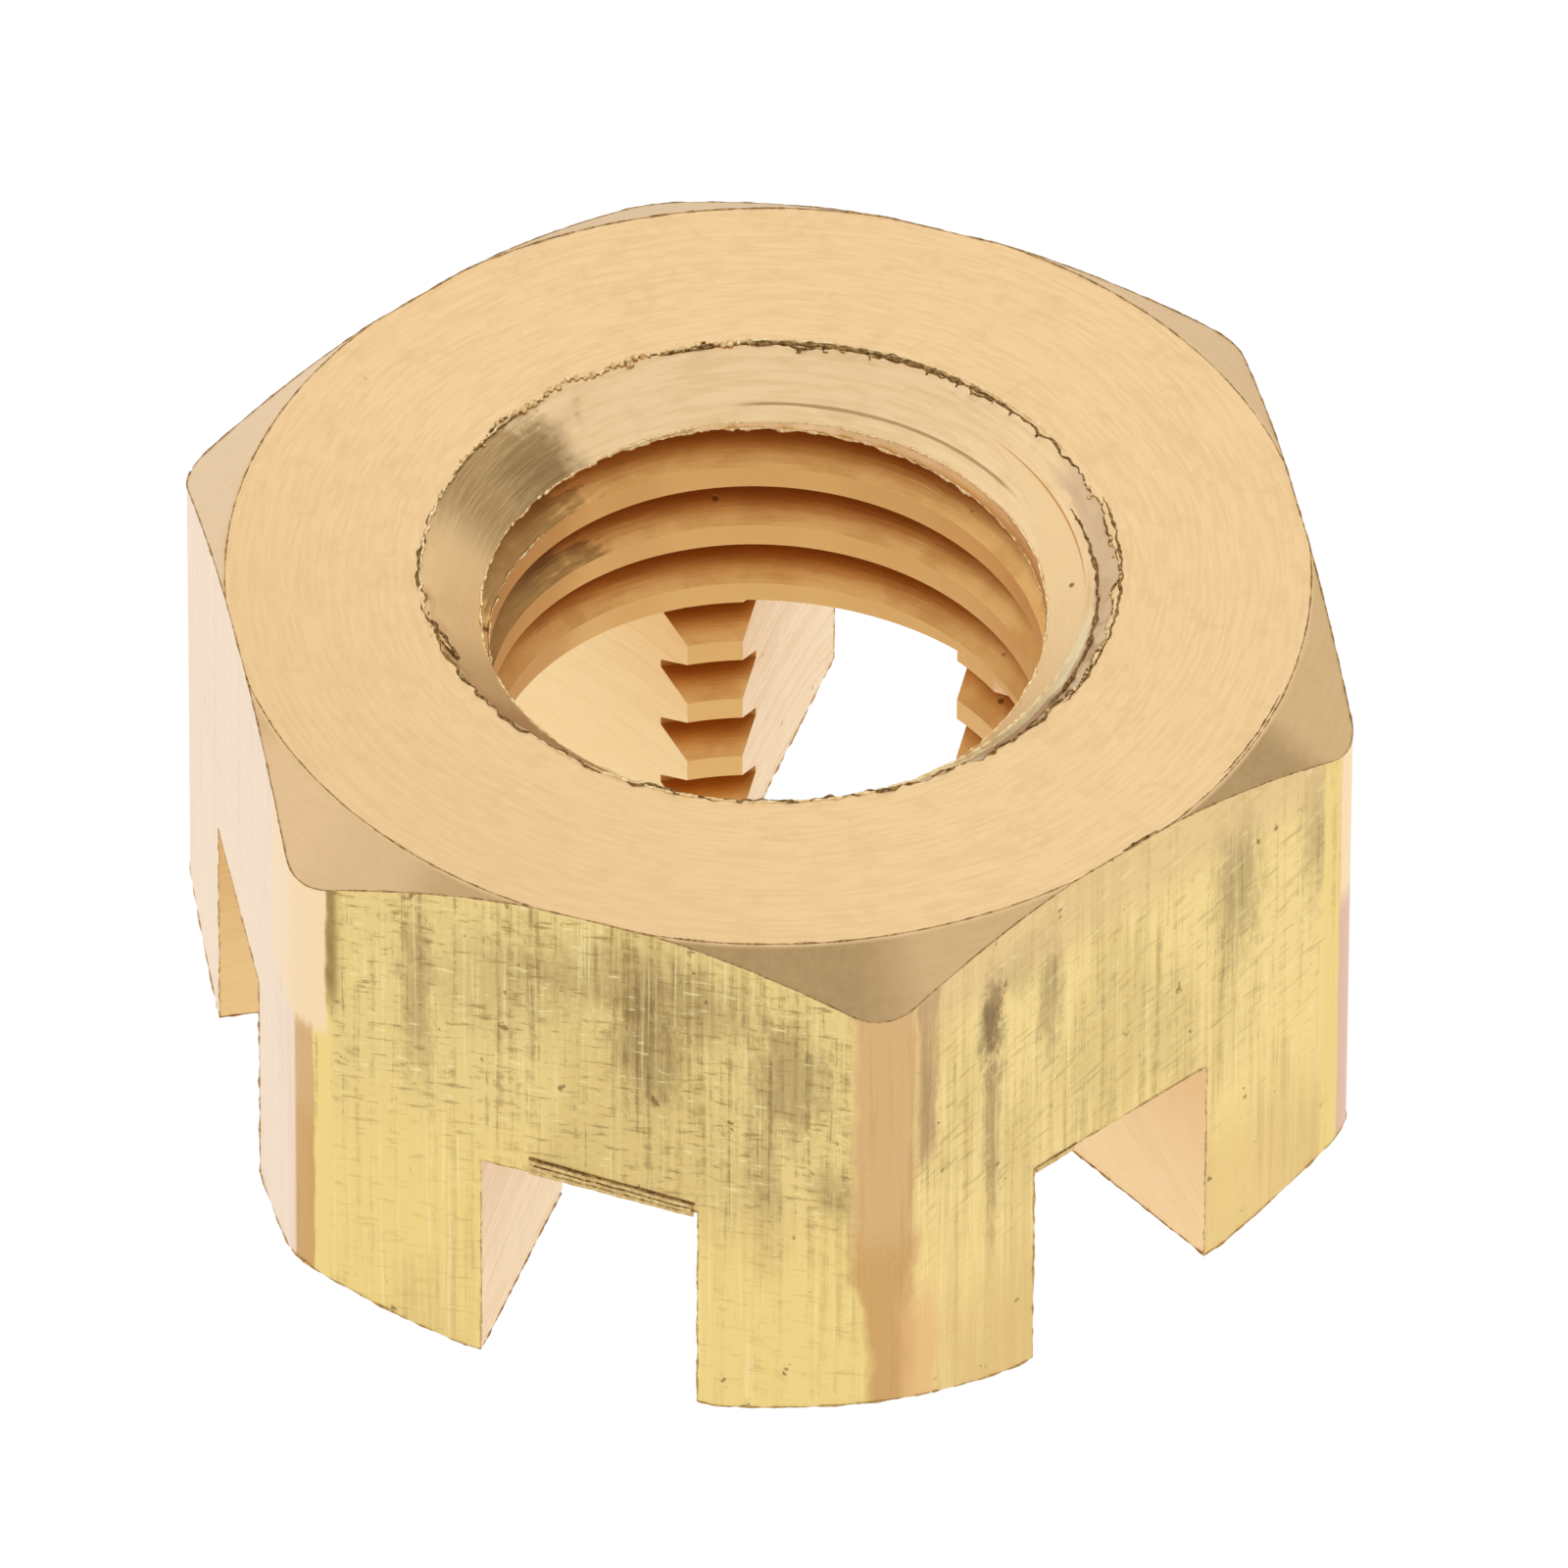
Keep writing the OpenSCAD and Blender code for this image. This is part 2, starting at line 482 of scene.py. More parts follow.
def settle(piece):
    """Turns what a piece's modifiers make into its own plain mesh."""
    bpy.context.view_layer.update()
    data = bpy.data.meshes.new_from_object(piece.evaluated_get(bpy.context.evaluated_depsgraph_get()))
    piece.modifiers.clear()
    piece.data = data


def machine(metal, tool, operation):
    """Cuts the metal with a tool, whose finish the cut takes, and puts the tool away."""
    cut = metal.modifiers.new(tool.name, "BOOLEAN")
    cut.operation = operation
    cut.solver = "EXACT"
    cut.material_mode = "TRANSFER"
    cut.object = tool
    settle(metal)
    bpy.data.objects.remove(tool)


machine(nut, made("turned_ends", turned_ends(), turned_finish()), "INTERSECT")


# The hole. It is drilled for the tap and countersunk at both ends. The countersink at the bearing face
# chattered and tore its rim, so the mouth is ragged, with a second torn line inside it on one side.

crest_d = 8.8
bearing_mouth_d = 10.9
bearing_mouth_tan = math.tan(math.radians(105) / 2)
slotted_mouth_d = 10.1
slotted_mouth_tan = math.tan(math.radians(90) / 2)
hole_steps = 480
tear = 0.080                # how far the rim wanders
lobe_turn = math.radians(10)
oval = 0.10                 # how much wider the rim is torn at the sides than in front and behind
shift = 0.03                # how far the rim lies towards the back
closed = 0.05               # how far the rolled burr closes the rim
torn_depth = 0.35           # how far down the countersink the tearing reaches


def bored_finish():
    """Bright brass with turning marks, rougher and with painted shade on the left, scuffed on the right, a
    painted highlight on the front right, and one scored ring.
    """
    material, place = finish("bored_brass")
    strokes = round_marks(place, 13.0, 5.0)
    fine = round_marks(place, 34.0, 6.0)
    mottle = grain(stretched(place, 1.4, 1.4, 1.4), 4.0, 0.6)
    out = radius(place)
    colour = tinted(paint(248, 216, 168), paint(240, 206, 156), ramp(strokes, 0.38, 0.66))
    colour = tinted(colour, paint(226, 192, 142), ramp(mottle, 0.54, 0.70) * 0.35)
    # Rougher on the left, and painted darker there as shade, since that side reflects the dim right.
    dull_and_shaded = sector(place, 192, 34, 9, (mottle - 0.5) * 0.35 + (strokes - 0.5) * 0.15)
    brushed_and_shaded = tinted(paint(200, 168, 118), paint(170, 138, 92), ramp(fine, 0.30, 0.62))
    brushed_and_shaded = tinted(brushed_and_shaded, paint(246, 212, 158), sector(place, 218, 26, 16) * 0.8)
    colour = tinted(colour, brushed_and_shaded, dull_and_shaded * 0.9)
    dark = sector(place, 158, 4, 9, (mottle - 0.5) * 0.05) * (1 - ramp(out, 4.9, 5.3))
    colour = tinted(colour, paint(134, 106, 66), dark * (0.3 + 0.4 * fine))
    colour = tinted(colour, paint(214, 182, 130), sector(place, -122, 14, 12) * 0.6)
    # Painted highlight: a near-white sector on the front right, where the metal reflects the bright left.
    colour = tinted(colour, paint(255, 246, 206), sector(place, -42, 40, 20))
    land = 1 - ramp(part(place, 2), height - 1.1, height - 0.9)
    colour = tinted(colour, paint(224, 178, 112), land)
    scuffed = sector(place, 8, 34, 10) * ramp(out + (mottle - 0.5) * 0.25, 5.12, 5.18)
    colour = tinted(colour, paint(214, 184, 148), scuffed * 0.8)
    ring = ramp(out + (mottle - 0.5) * 0.03, 4.60, 4.62) * (1 - ramp(out, 4.63, 4.66))
    ring = ring * sector(place, 84, 26, 8)
    colour = tinted(colour, paint(170, 138, 92), ring * 0.8)
    rough = 0.32 + 0.16 * strokes + 0.1 * dull_and_shaded
    plated(material, colour, rough, (strokes + fine * 0.5) * (1 - 0.6 * dull_and_shaded) - ring * 2.0, 0.006)
    return material


def drilled_hole():
    """The hole's cutter, with a torn mouth at the bearing face."""
    crest_r = crest_d / 2
    mouth_r = bearing_mouth_d / 2
    rows = [mouth_r - torn_depth * share for share in (1.0, 0.9, 0.75, 0.55, 0.35, 0.15)]
    mesh = lathe([
        (slotted_mouth_d / 2 + overrun * slotted_mouth_tan, -overrun),
        (crest_r, (slotted_mouth_d / 2 - crest_r) / slotted_mouth_tan),
        (crest_r, height - (mouth_r - crest_r) / bearing_mouth_tan),
        *[(row, height - (mouth_r - row) / bearing_mouth_tan) for row in rows],
        (mouth_r, height),
        (mouth_r + overrun * bearing_mouth_tan, height + overrun),
    ], hole_steps)
    for vert in mesh.verts:
        out = math.hypot(vert.co.x, vert.co.y)
        if out > crest_r + 0.01 and vert.co.z > height / 2:
            share = min(1.0, max(0.0, (out - mouth_r + torn_depth) / torn_depth))
            wander = noise.noise(vert.co * 2.2) + 0.7 * noise.noise(vert.co * 7.0)
            turn = math.atan2(vert.co.y, vert.co.x)
            lobe = oval * math.cos(2 * turn - lobe_turn) + shift * math.sin(turn) - closed
            scale = 1 + share * (tear * wander + lobe) / out
            vert.co.x *= scale
            vert.co.y *= scale
    return mesh


machine(nut, made("drilled_hole", drilled_hole(), bored_finish()), "DIFFERENCE")


# The slots. A disc cutter is sunk into the end three times, through the middle of opposite flats, and
# leaves six slots for the split pin with arched roots. Its teeth leave curved lines on their walls.

slot_w = 3.6
slot_depth = 4.1            # where the root meets the flat
cutter_r = 54.0 / 2
cutter_steps = 1080


def grow(name, sizes, build, material, metal=None):
    """Runs a Geometry Nodes tree on a mesh, with these sizes as its inputs, and returns what it makes."""
    tree = bpy.data.node_groups.new(name, "GeometryNodeTree")
    kinds = {int: "NodeSocketInt", float: "NodeSocketFloat", Vector: "NodeSocketVector"}
    tree.interface.new_socket("Metal", in_out="INPUT", socket_type="NodeSocketGeometry")
    for label, size in sizes.items():
        tree.interface.new_socket(label, in_out="INPUT", socket_type=kinds[type(size)])
    tree.interface.new_socket("Piece", in_out="OUTPUT", socket_type="NodeSocketGeometry")
    entry = tree.nodes.new("NodeGroupInput")
    sockets = {label: Wire(tree, entry.outputs[label]) for label in sizes}
    result = build(Wire(tree, entry.outputs["Metal"]), sockets)
    result = result.add("GeometryNodeRealizeInstances", None, {"Geometry": result})
    result = result.add("GeometryNodeSetShadeSmooth", None, {"Geometry": result})
    result = result.add("GeometryNodeSetMaterial", None, {"Geometry": result, "Material": material})
    tree.links.new(result.socket, tree.nodes.new("NodeGroupOutput").inputs["Piece"])
    piece = bpy.data.objects.new(name, metal.copy() if metal else bpy.data.meshes.new(name))
    scene.collection.objects.link(piece)
    growth = piece.modifiers.new(name, "NODES")
    growth.node_group = tree
    for item in tree.interface.items_tree:
        if item.in_out == "INPUT" and item.name in sizes:
            growth[item.identifier] = sizes[item.name]
    settle(piece)
    mesh = bmesh.new()
    mesh.from_mesh(piece.data)
    bmesh.ops.recalc_face_normals(mesh, faces=mesh.faces)
    mesh.to_mesh(piece.data)
    mesh.free()
    return piece


def milled_finish():
    """Pale brass with curved cutter marks. Three of the slots are yellower than the others."""
    material, place = finish("milled_brass")
    out = radius(place)
    lean = ramp(part(place, 0), 3.0, 4.0) * 0.7 - 0.25
    warp = grain(stretched(place, 0.7, 0.7, 0.7), 2.0)
    sweep = part(place, 2) + out * lean + out * out * 0.03 + warp * 0.4
    arcs = grain(sweep.add("ShaderNodeCombineXYZ", None, {"X": sweep * 9.0, "Y": warp}), 4.0, 0.7)
    mottle = grain(stretched(place, 1.5, 1.5, 1.5), 4.0, 0.6)
    colour = tinted(paint(250, 222, 184), paint(240, 207, 162), ramp(arcs, 0.36, 0.66))
    colour = tinted(colour, paint(250, 226, 190), ramp(mottle, 0.45, 0.65) * 0.5)
    slot_tones = ((150, paint(247, 213, 150)), (-30, paint(246, 210, 152)), (210, paint(232, 192, 120)))
    for side, tone in slot_tones:
        colour = tinted(colour, tone, sector(place, side, 26, 3) * (0.85 - 0.3 * arcs))
    dots = specks(place, 1.6, 0.20, 0.05)
    colour = tinted(colour, paint(150, 112, 66), dots * 0.6)
    rough = 0.36 + 0.16 * arcs
    plated(material, colour, rough, arcs - dots, 0.010)
    return material


def disc_cutter(start, size):
    """A disc that stands across the slotted end and cuts the two slots on one line through the axis."""
    disc = start.add("GeometryNodeMeshCylinder", None, {
        "Vertices": size["Steps"], "Radius": size["Radius"], "Depth": size["Width"]})
    stance = start.add("ShaderNodeCombineXYZ", None, {"X": math.pi / 2, "Z": size["Turn"]})
    lift = start.add("ShaderNodeCombineXYZ", None, {"Z": size["Axis height"]})
    return disc.add("GeometryNodeTransform", None, {
        "Geometry": disc, "Translation": lift, "Rotation": stance})


axis_height = slot_depth - math.sqrt(cutter_r ** 2 - (across_flats / 2) ** 2)
milled = milled_finish()
for turn in (30, 90, 150):
    disc_sizes = {
        "Steps": cutter_steps, "Radius": cutter_r, "Width": slot_w, "Turn": math.radians(turn),
        "Axis height": axis_height,
    }
    machine(nut, grow("disc_cutter", disc_sizes, disc_cutter, milled), "DIFFERENCE")


# The thread. A tap cuts the M10 x 1.25 groove, right-hand, from end to end of the hole. The slots
# interrupt it, so its profile shows as a row of teeth on each side of a slot.

pitch = 1.25
thread_d = 10.0
thread_start = 200          # turn about Z at which the groove crosses the slotted end
root_half = pitch / 16      # half the width of the flat at the root
flank_slope = math.tan(math.radians(30))
past_crest = 0.3            # how far the cutter's tooth runs on inside the crests
helix_r = 1.0               # radius of the line that the tooth is swept along
turn_steps = 144
turns_below = 2             # turns of the groove below the slotted end
thread_turns = turns_below + math.ceil(height / pitch) + 1


def tapped_finish():
    """Orange brass with painted shade towards the groove's root and on one side near the mouth, and dark
    dots.
    """
    material, place = finish("tapped_brass")
    mottle = grain(stretched(place, 1.2, 1.2, 2.0), 3.0, 0.6)
    streaks = round_marks(place, 12.0, 5.0)
    out = radius(place)
    colour = tinted(paint(236, 188, 118), paint(226, 174, 104), ramp(mottle, 0.4, 0.65))
    colour = tinted(colour, paint(204, 150, 84), ramp(streaks, 0.55, 0.78) * 0.5)
    # Painted shade: darker towards the groove's root, where the crest above shadows it.
    colour = tinted(colour, paint(180, 114, 44), ramp(out + (streaks - 0.5) * 0.1, 4.56, 4.90) * 0.85)
    up = part(place, 2)
    # Painted shade: one side near the mouth is darker, since it faces the dim right.
    dull_and_shaded = sector(place, 172, 16, 10, (mottle - 0.5) * 0.25 + (streaks - 0.5) * 0.2)
    dull_and_shaded = dull_and_shaded * ramp(up, height - 3.4, height - 2.8)
    colour = tinted(colour, paint(132, 100, 60), dull_and_shaded * (0.35 + 0.5 * streaks))
    faced = ramp(up + (streaks - 0.5) * 0.2, height - 1.25, height - 0.95)
    colour = tinted(colour, paint(244, 212, 162), faced)
    dots = specks(place, 1.6, 0.35, 0.07)
    colour = tinted(colour, paint(104, 72, 36), dots * 0.8)
    rough = 0.34 + 0.16 * mottle
    plated(material, colour, rough, streaks - dots, 0.006)
    return material


def tooth_outline():
    """The groove's outline: X is away from the axis and Y is up."""
    root = thread_d / 2
    inner = crest_d / 2 - past_crest
    upper = [(root, root_half, 0), (inner, root_half + (root - inner) * flank_slope, 0)]
    points = upper + [(x, -y, 0) for x, y, _ in reversed(upper)]
    data = bpy.data.meshes.new("tooth_outline")
    data.from_pydata(points, [(step, (step + 1) % len(points)) for step in range(len(points))], [])
    return data


def at_turn(turn, out=1.0, up=0.0):
    """The place at this turn about the axis, so far out from it and so far up."""
    return turn.add("ShaderNodeCombineXYZ", None, {
        "X": turn.math("COSINE", turn) * out, "Y": turn.math("SINE", turn) * out, "Z": up})


def tap(outline, size):
    """The groove's cutter: the tooth's outline swept along a helix inside it, its root outwards."""
    line = outline.add("GeometryNodeCurvePrimitiveLine", None, {"End": (0.0, 0.0, 1.0)})
    count = outline.math("ROUND", size["Turns"] * size["Steps per turn"])
    line = line.add("GeometryNodeResampleCurve", None, {"Curve": line, "Count": count})
    run = outline.add("GeometryNodeSplineParameter") * size["Turns"]
    turn = run * (2 * math.pi) + math.radians(thread_start)
    place = at_turn(turn, helix_r, (run - size["Turns below"]) * size["Pitch"])
    line = line.add("GeometryNodeSetPosition", None, {"Geometry": line, "Position": place})
    line = line.add("GeometryNodeSetCurveNormal", {"mode": "Z_UP"}, {"Curve": line})
    tooth = outline.add("GeometryNodeTransform", None, {
        "Geometry": outline, "Translation": (-helix_r, 0.0, 0.0)})
    tooth = tooth.add("GeometryNodeMeshToCurve", None, {"Mesh": tooth})
    return line.add("GeometryNodeCurveToMesh", None,
                    {"Curve": line, "Profile Curve": tooth, "Fill Caps": True})


tap_sizes = {
    "Turns": float(thread_turns), "Steps per turn": turn_steps, "Turns below": turns_below, "Pitch": pitch,
}
machine(nut, grow("tap", tap_sizes, tap, tapped_finish(), tooth_outline()), "DIFFERENCE")


crisp = 24                  # degrees past which an edge of cut metal is sharp
rounded = 180


def fitted(piece, sharp=crisp):
    """Brings a finished piece to metres, sharpens its edges past this angle and mounts it on the body."""
    piece.data.transform(Matrix.Scale(MM, 4))
    piece.data.set_sharp_from_angle(angle=math.radians(sharp))
    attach(piece, "root")


# The burrs. Each tool rolls a thin thread of metal over the edges that it leaves: fine ones along the
# turned edges, coarser ones along the slots, and a torn one round the countersink's rim, dark with painted
# shade of the crack there.

def torn_finish(name, dark, light):
    material, place = finish(name)
    lumps = grain(stretched(place, 12.0, 12.0, 12.0), 2.0, 0.6)
    colour = tinted(dark, light, ramp(lumps, 0.35, 0.70))
    plated(material, colour, 0.34 + 0.2 * lumps, lumps, 0.01)
    return material


def wandering(line, scale, detail, amount):
    """Shifts a line's points by smooth noise, at most half this far along each axis."""
    drift = line.add("ShaderNodeTexNoise", None, {"Scale": scale, "Detail": detail}, out=1)
    drift = drift.vector("SUBTRACT", drift, (0.5, 0.5, 0.5))
    drift = drift.add("ShaderNodeVectorMath", {"operation": "SCALE"}, {"Vector": drift, "Scale": amount})
    return line.add("GeometryNodeSetPosition", None, {"Geometry": line, "Offset": drift})


def thread_of_metal(line, thickness):
    """A six-sided thread along a line."""
    wire = line.add("GeometryNodeCurvePrimitiveCircle", None, {"Resolution": 6, "Radius": 1.0})
    return line.add("GeometryNodeCurveToMesh", None, {
        "Curve": line, "Profile Curve": wire, "Scale": thickness, "Fill Caps": True})


def edge_line(metal, size):
    """The metal's sharp edges that lie between two radii and two heights, as a wandering line."""
    place = metal.add("GeometryNodeInputPosition")
    bend = metal.add("GeometryNodeInputMeshEdgeAngle", out=1)
    keep = bend.math("GREATER_THAN", bend, size["Least bend"])
    limits = ((radius(place), "Inner radius", "Outer radius"), (part(place, 2), "Low", "High"))
    for value, least, most in limits:
        keep = keep * value.math("GREATER_THAN", value, size[least])
        keep = keep * value.math("LESS_THAN", value, size[most])
    line = metal.add("GeometryNodeMeshToCurve", None, {"Mesh": metal, "Selection": keep})
    line = line.add("GeometryNodeResampleCurve", {"mode": "LENGTH"}, {"Curve": line, "Length": size["Step"]})
    return wandering(line, 3.0, 3.0, size["Wander"])


def burr_roll(metal, size):
    """A thread of burr along the edges, now thicker and now thinner."""
    line = edge_line(metal, size)
    swell = line.add("ShaderNodeTexNoise", None, {"Scale": size["Lumps per mm"], "Detail": 2.0})
    swell = ramp(swell, 0.30, 0.75) * (size["Thickest"] - size["Thinnest"]) + size["Thinnest"]
    return thread_of_metal(line, swell)


rolled = torn_finish("rolled_brass", paint(176, 142, 92), paint(226, 194, 140))
# Torn metal, painted dark as the shade of the cracks, gaps and hollows that its threads are laid along.
torn = torn_finish("torn_brass_with_painted_shade", paint(104, 78, 42), paint(176, 140, 88))
bright = torn_finish("bright_brass", paint(228, 192, 134), paint(255, 236, 192))
smeared = torn_finish("edge_brass", paint(140, 108, 66), paint(206, 172, 120))
turned_edges = {
    "Inner radius": 8.3, "Outer radius": 10.0, "Low": 5.0, "High": 10.0, "Least bend": math.radians(30)}
slot_edges = {
    "Inner radius": 5.3, "Outer radius": 10.0, "Low": -0.1, "High": 4.2, "Least bend": math.radians(40)}
mouth_edge = {
    "Inner radius": 4.38, "Outer radius": 4.95, "Low": height - 1.6, "High": height - 0.3,
    "Least bend": math.radians(25)}
rim_edge = {
    "Inner radius": 5.1, "Outer radius": 5.8, "Low": height - 0.05, "High": height + 0.05,
    "Least bend": math.radians(20)}
# Each burr: its finish, the edges that it lies on, and its sizes.
burrs = (
    ("turned_edge_burr", smeared, turned_edges, {
        "Step": 0.06, "Wander": 0.02, "Lumps per mm": 4.0, "Thinnest": 0.006, "Thickest": 0.020}),
    ("slot_edge_burr", rolled, slot_edges, {
        "Step": 0.06, "Wander": 0.06, "Lumps per mm": 4.0, "Thinnest": 0.002, "Thickest": 0.024}),
    ("mouth_burr", bright, mouth_edge, {
        "Step": 0.04, "Wander": 0.10, "Lumps per mm": 6.0, "Thinnest": 0.004, "Thickest": 0.040}),
    ("rim_burr", torn, rim_edge, {
        "Step": 0.025, "Wander": 0.16, "Lumps per mm": 2.5, "Thinnest": 0.006, "Thickest": 0.030}),
)
for name, burr_finish, edges, sizes in burrs:
    fitted(grow(name, {**edges, **sizes}, burr_roll, burr_finish, nut.data), rounded)


# The rim's beads. On the left, behind and on the right, the torn burr broke into chains of small bright
# beads of brass. With them the nut's metal is complete, so it is mounted here.

bead_finish = torn_finish("bead_brass", paint(196, 158, 100), paint(252, 230, 178))


def bead_chain(metal, size):
    """Small beads along the rim, in the sector that reaches so far to each side of its middle."""
    line = edge_line(metal, size)
    way = heading(line.add("GeometryNodeInputPosition"))
    near = way.vector("DOT_PRODUCT", way, at_turn(size["Middle"]), out=1)
    near = near.math("GREATER_THAN", near, size["Half"].math("COSINE", size["Half"]))
    bead = line.add("GeometryNodeMeshIcoSphere", None, {"Radius": 1.0, "Subdivisions": 2})
    girth = line.add("FunctionNodeRandomValue", None, {
        "Min_001": size["Smallest"], "Max_001": size["Largest"], "Seed": size["Seed"]}, out=1)
    points = line.add("GeometryNodeCurveToPoints", {"mode": "EVALUATED"}, {"Curve": line})
    return points.add("GeometryNodeInstanceOnPoints", None,
                      {"Points": points, "Selection": near, "Instance": bead, "Scale": girth})


# Each chain: the middle and half the width of its sector in degrees, its smallest and largest beads'
# radii, and the seed that deals them out.
chains = (
    ("rim_beads_back", 136, 24, 0.034, 0.074, 3),
    ("rim_beads_left", 175, 15, 0.010, 0.050, 5),
    ("rim_beads_right", 12, 30, 0.008, 0.040, 8),
)
for name, middle, half, smallest, largest, seed in chains:
    chain_sizes = {
        **rim_edge, "Step": 0.13, "Wander": 0.16, "Middle": math.radians(middle), "Half": math.radians(half),
        "Smallest": smallest, "Largest": largest, "Seed": seed,
    }
    fitted(grow(name, chain_sizes, bead_chain, bead_finish, nut.data), rounded)

fitted(nut)
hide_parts("slotted_nut")


# The tears. The countersink's rim tore twice on the right, and cracked behind, on the left and in front.
# There is a gouge at the front left, and two nicks mark the bearing face's edge on the front right.
# The dark threads among them are raised metal painted dark as the shade of these cracks and hollows.

tear_points = 140


def torn_line(start, size):
    """A lumpy thread that follows the face and the countersink between two turns and two radii."""
    line = start.add("GeometryNodeCurvePrimitiveLine", None, {"End": (0.0, 0.0, 1.0)})
    line = line.add("GeometryNodeResampleCurve", None, {"Curve": line, "Count": tear_points})
    run = start.add("GeometryNodeSplineParameter")
    turn = size["Start turn"] + run * size["Sweep"]
    jolt = start.add("ShaderNodeTexNoise", None, {
        "Vector": start.add("ShaderNodeCombineXYZ", None, {"X": turn * 22.0}), "Scale": 1.0, "Detail": 4.0})
    out = size["Start radius"] + run * size["Drift"] + (jolt - 0.5) * size["Wander"]
    fall = out.math("MAXIMUM", size["Rim radius"] - out, 0.0) * (1 / bearing_mouth_tan)
    line = line.add("GeometryNodeSetPosition", None, {
        "Geometry": line, "Position": at_turn(turn, out, height - fall)})
    swell = line.add("ShaderNodeTexNoise", None, {"Scale": 5.0, "Detail": 2.0})
    taper = run * (1 - run) * 4.0
    swell = (0.35 + 0.65 * ramp(swell, 0.35, 0.75)) * size["Thickest"] * taper.math("POWER", taper, 0.4)
    return thread_of_metal(line, swell)


# Each tear: its finish, the turn it starts at and how far it runs in degrees, the radius it starts at and
# how far it drifts outwards, the rim's radius there, how far it wanders, and how thick it gets.
tears = (
    ("inner_tear", torn, -22, 62, 5.34, -0.24, 5.45, 0.12, 0.055),
    ("outer_tear", torn, -14, 52, 5.53, 0.04, 5.45, 0.16, 0.045),
    ("back_crack", torn, 58, 70, 5.41, -0.08, 5.30, 0.12, 0.066),
    ("back_crack_lip", bright, 50, 84, 5.50, -0.10, 5.30, 0.14, 0.034),
    ("left_tear", torn, 152, 46, 5.38, 0.12, 5.38, 0.20, 0.040),
    ("left_tear_lip", bright, 152, 66, 5.42, 0.08, 5.38, 0.22, 0.045),
    ("front_tear", bright, -120, 94, 5.29, 0.03, 5.24, 0.16, 0.040),
    ("gouge", torn, -149, 9, 5.40, -0.22, 5.40, 0.03, 0.085),
    ("gouge_lip", bead_finish, -148, 6, 5.46, -0.20, 5.40, 0.03, 0.040),
    ("top_edge_nick", torn, -30, 5, 8.46, 0.03, 5.45, 0.10, 0.042),
    ("right_edge_nick", torn, -14, 14, 8.50, 0.00, 5.45, 0.06, 0.022),
)
for name, tear_finish, start_turn, sweep, start_radius, drift, rim_radius, wander, thickest in tears:
    tear_sizes = {
        "Start turn": math.radians(start_turn), "Sweep": math.radians(sweep),
        "Start radius": start_radius, "Drift": drift, "Rim radius": rim_radius,
        "Wander": wander, "Thickest": thickest,
    }
    fitted(grow(name, tear_sizes, torn_line, tear_finish), rounded)


# The flakes. Where the disc cutter broke out of the two front slots it folded thin leaves of metal over
# their roots. A leaf lies flat against the bar, and thin dark threads between the leaves are painted shadow
# in the gaps.

leaf_points = 60
crumple = 0.05              # how far a leaf's middle line wanders


def leaf(start, size):
    """A thin strip with rounded edges from one point to another, slightly crumpled."""
    line = start.add("GeometryNodeCurvePrimitiveLine", None, {"Start": size["Start"], "End": size["End"]})
    line = line.add("GeometryNodeResampleCurve", None, {"Curve": line, "Count": leaf_points})
    line = line.add("GeometryNodeSetCurveNormal", {"mode": "Z_UP"}, {"Curve": line})
    line = wandering(line, 2.6, 4.0, size["Crumple"])
    oval_edge = line.add("GeometryNodeCurvePrimitiveCircle", None, {"Resolution": 10, "Radius": 1.0})
    girth = start.add("ShaderNodeCombineXYZ", None, {
        "X": size["Half thickness"], "Y": size["Half width"], "Z": 1.0})
    oval_edge = oval_edge.add("GeometryNodeTransform", None, {"Geometry": oval_edge, "Scale": girth})
    return line.add("GeometryNodeCurveToMesh", None, {
        "Curve": line, "Profile Curve": oval_edge, "Fill Caps": True})


folded = torn_finish("leaf_brass", paint(196, 164, 104), paint(232, 204, 144))
# Each leaf: its finish, the side its flat faces, where it starts and ends along the flat and above the
# root, how far its middle is lifted off the flat, and half its thickness and width.
leaves = (
    ("front_leaf_low", folded, -90, (-0.98, 0.04), (1.74, -0.04), 0.020, 0.030, 0.060),
    ("front_leaf_middle", folded, -90, (-0.96, 0.14), (1.70, 0.04), 0.030, 0.030, 0.050),
    ("front_leaf_top", folded, -90, (-0.97, 0.23), (1.72, 0.11), 0.020, 0.030, 0.045),
    # The gap threads are painted shadow: dark strands laid in the gaps between the leaves.
    ("front_gap_shadow_low", torn, -90, (-0.60, 0.085), (1.60, 0.00), 0.048, 0.006, 0.010),
    ("front_gap_shadow_middle", torn, -90, (-0.90, 0.185), (1.70, 0.075), 0.046, 0.006, 0.012),
    ("front_gap_shadow_top", torn, -90, (-1.00, 0.285), (1.76, 0.160), 0.010, 0.022, 0.020),
    ("right_leaf", folded, -30, (-1.74, -0.07), (-0.97, -0.03), -0.010, 0.030, 0.070),
    ("right_gap_shadow", torn, -30, (-1.74, 0.00), (-0.93, 0.02), 0.000, 0.020, 0.014),
)
for name, leaf_finish, side, start, end, lift, half_thickness, half_width in leaves:
    leaf_sizes = {
        "Start": on_flat(side, start[0], slot_depth + start[1], lift),
        "End": on_flat(side, end[0], slot_depth + end[1], lift),
        "Half thickness": half_thickness, "Half width": half_width, "Crumple": crumple,
    }
    fitted(grow(name, leaf_sizes, leaf, leaf_finish), 60)


# The stage. The nut stands on a glowing white table in a soft white room, which takes the place of a
# light tent. A softbox behind it and one to its left brighten the sides of the metal.

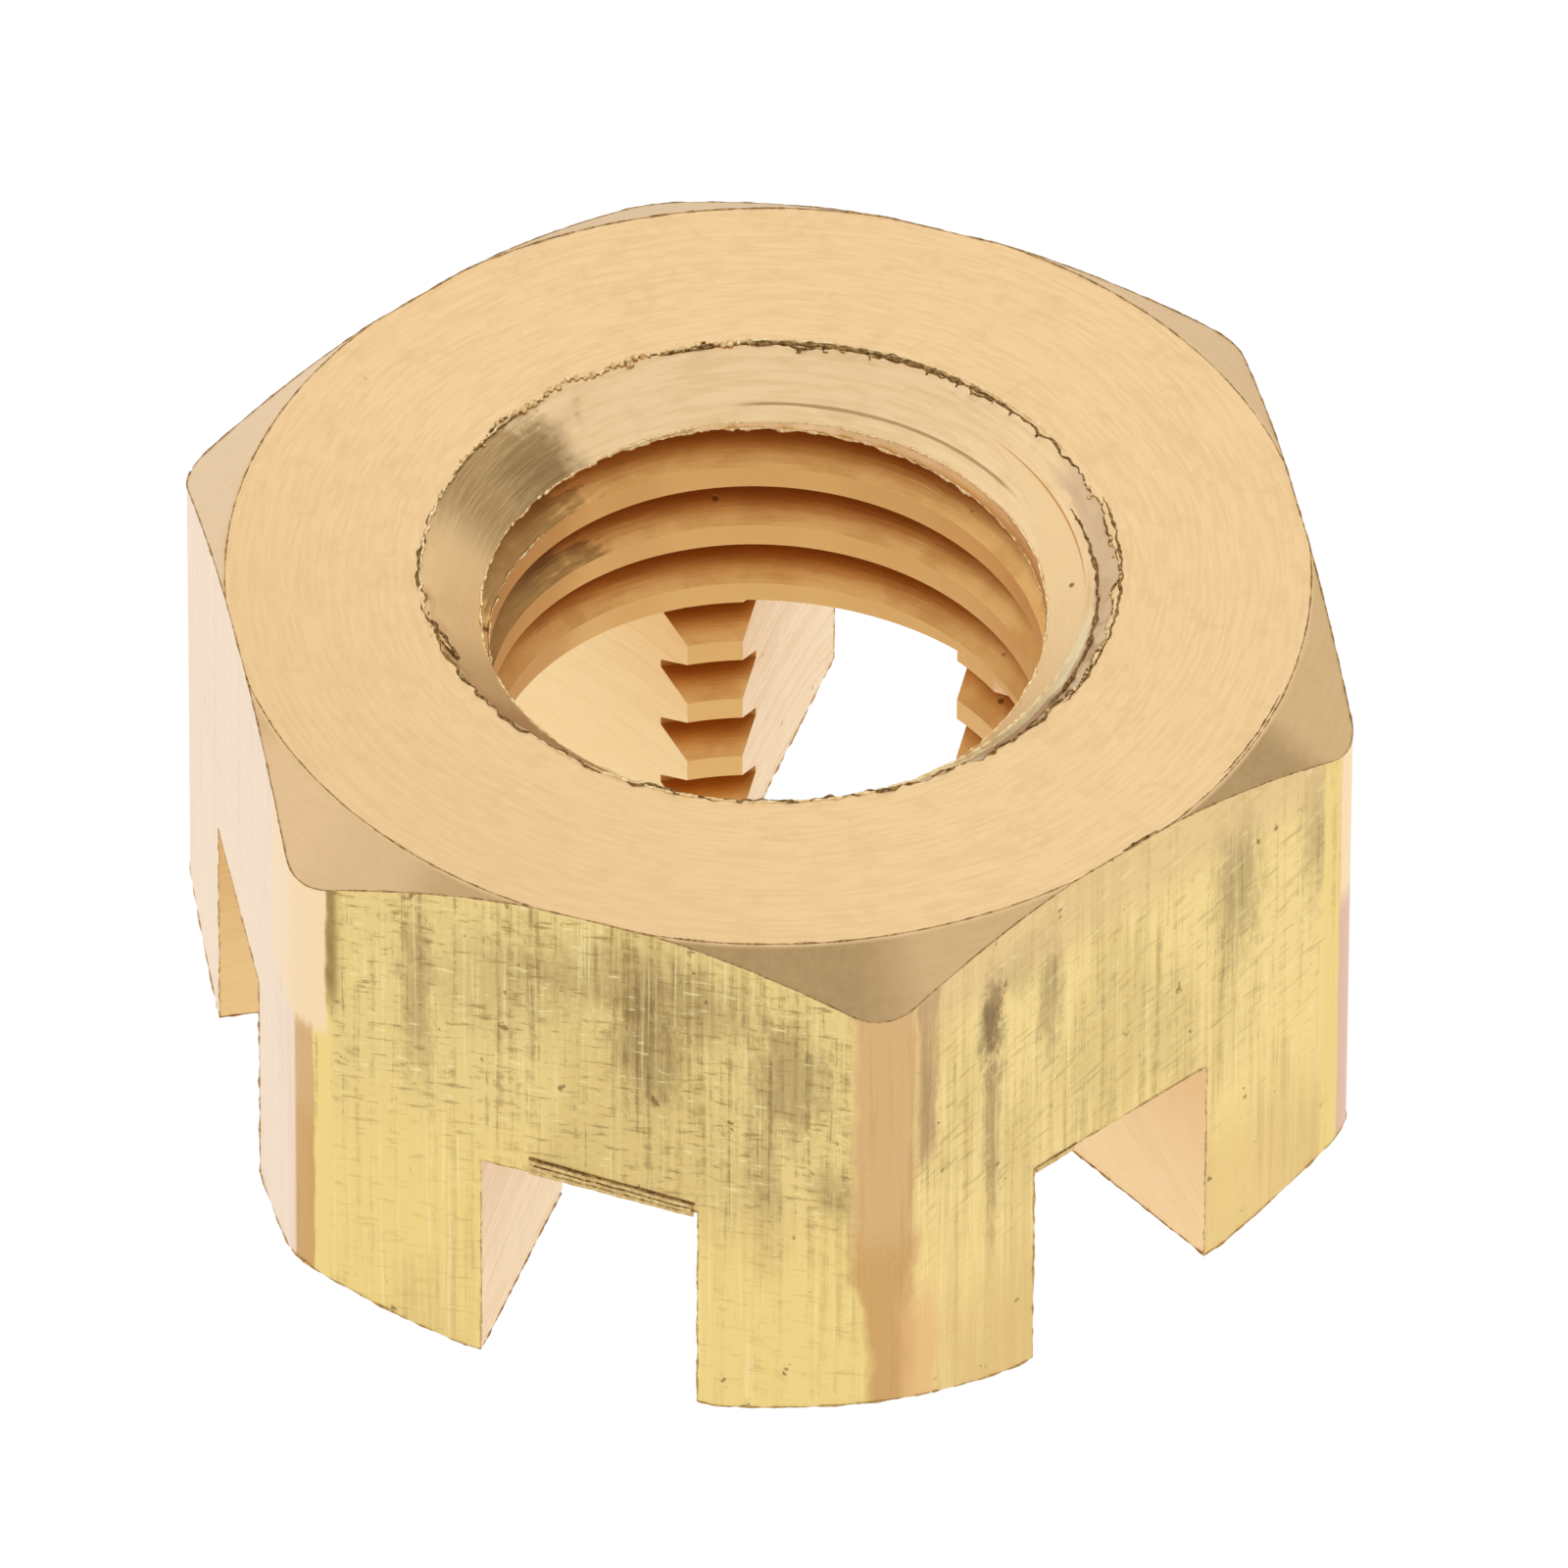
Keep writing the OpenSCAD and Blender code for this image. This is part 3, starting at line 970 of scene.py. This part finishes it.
table_half = 1.2
table_glow = 1.02
room_glow = 0.90
burr_gap = 0.05             # the burrs hold the slotted end this far off the table
mesh = bmesh.new()
bmesh.ops.create_grid(mesh, size=table_half, matrix=Matrix.Translation((0, 0, -burr_gap * MM)))
white = bpy.data.materials.new("white_table")
white.use_nodes = True
tree = white.node_tree
glow = Wire(tree).add("ShaderNodeEmission", None, {"Color": (1, 1, 1, 1), "Strength": table_glow})
tree.links.new(glow.socket, tree.nodes["Material Output"].inputs["Surface"])
table = made("table", mesh, white)

room = bpy.data.worlds.new("room")
room.use_nodes = True
room.node_tree.nodes["Background"].inputs["Color"].default_value = (1, 1, 1, 1)
room.node_tree.nodes["Background"].inputs["Strength"].default_value = room_glow
scene.world = room
scene.view_settings.view_transform = "Standard"


def softbox(name, side, elevation, distance, size, radiance):
    """A square soft light that faces the nut from this side and elevation."""
    lamp = bpy.data.lights.new(name, "AREA")
    lamp.size = size
    lamp.energy = radiance * math.pi * size * size
    elevation = math.radians(elevation)
    away = outwards(side) * math.cos(elevation) + Vector((0, 0, math.sin(elevation)))
    piece = bpy.data.objects.new(name, lamp)
    piece.location = away * distance
    piece.rotation_euler = away.to_track_quat("Z", "Y").to_euler()
    scene.collection.objects.link(piece)


softbox("back_softbox", 105, 42, 0.5, 0.5, 0.20)
softbox("left_softbox", 180, 30, 0.5, 0.5, 0.10)


# The camera. It looks down on the front corner from a little to the right, with a long lens, so the nut's
# upright edges stay nearly parallel.

view_turn = math.radians(18.944)
view_drop = math.radians(42.931)
view_roll = math.radians(0.2756)
view_distance = 0.63118
aim_right = 0.2658 * MM
aim_up = 0.2608 * MM
focal_length = 916.13
lens = bpy.data.cameras.new("camera")
lens.sensor_width = 36.0
lens.lens = focal_length
lens.clip_start = 0.01
lens.clip_end = 10.0
camera = bpy.data.objects.new("camera", lens)
back = outwards(math.degrees(view_turn) - 90) * math.cos(view_drop) + Vector((0, 0, math.sin(view_drop)))
right = Vector((math.cos(view_turn), math.sin(view_turn), 0))
up = back.cross(right)
stand = Matrix((right, up, back)).transposed().to_4x4()
stand.translation = Vector((0, 0, height * MM / 2)) + back * view_distance + right * aim_right + up * aim_up
camera.matrix_world = stand @ Matrix.Rotation(view_roll, 4, "Z")
scene.collection.objects.link(camera)
scene.camera = camera
